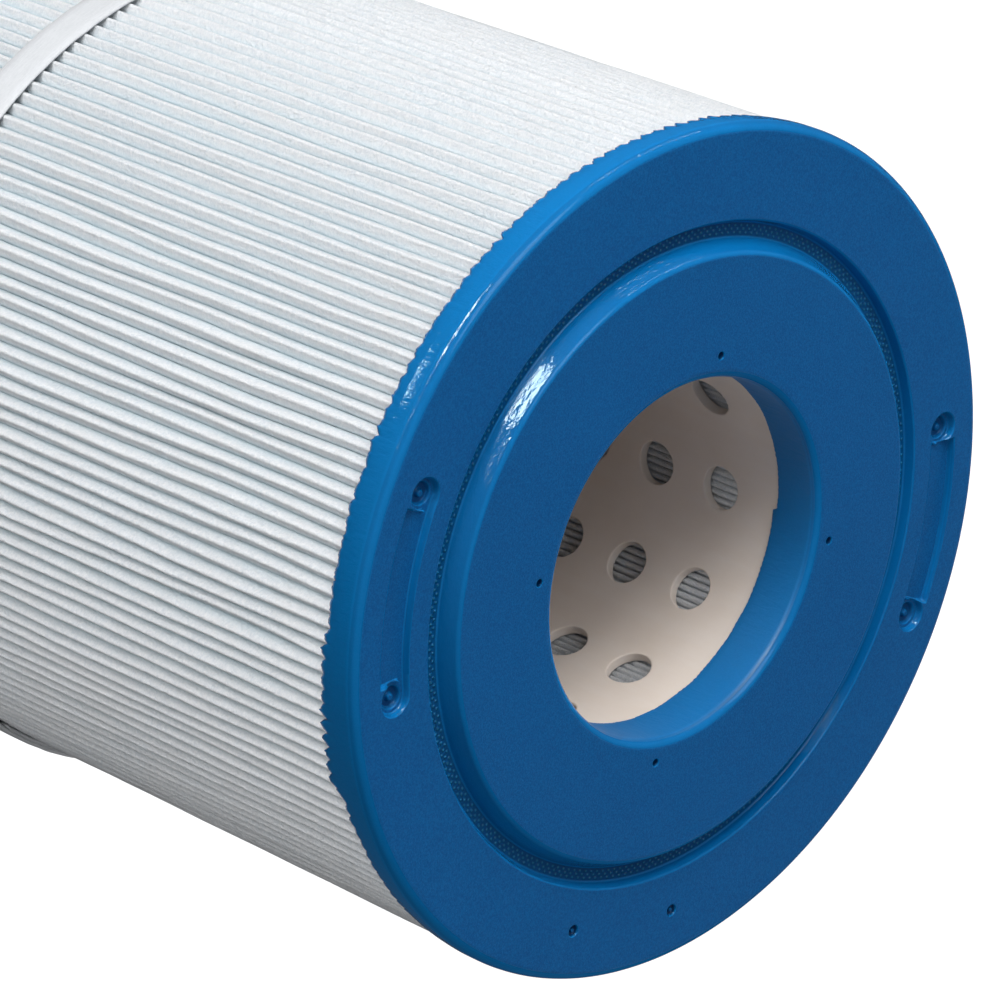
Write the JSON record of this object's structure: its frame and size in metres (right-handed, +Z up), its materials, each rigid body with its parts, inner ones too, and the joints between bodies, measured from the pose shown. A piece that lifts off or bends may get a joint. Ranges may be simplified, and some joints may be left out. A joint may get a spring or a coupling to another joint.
{
  "type": "pleated filter cartridge",
  "caption": "Upright pool and spa filter cartridge: closely pleated fabric round a perforated core tube, potted in cast ring-shaped end caps and held by a strap.",
  "frame": {"origin": "centre of the bottom end cap's outer face", "axes": "+Z up along the cartridge's axis, +X through the middle of one plate recess in the top cap"},
  "size_m": [0.227, 0.227, 0.3747],
  "materials": {
    "cast_urethane": "blue cast polyurethane, fine orange-peel satin faces and glossy mould-polished walls",
    "core_plastic": "off-white matt moulded plastic",
    "filter_fabric": "white spunbond polyester with a fibrous surface",
    "seam_glue": "cloudy hot-melt glue",
    "strap_fabric": "white bonded polyester strap"
  },
  "bodies": {
    "root": {"top_end_cap": "cast_urethane", "bottom_end_cap": "cast_urethane", "core_tube": "core_plastic", "pleated_media": "filter_fabric", "side_seam_bead": "seam_glue", "centre_band": "strap_fabric"}
  },
  "joints": []
}
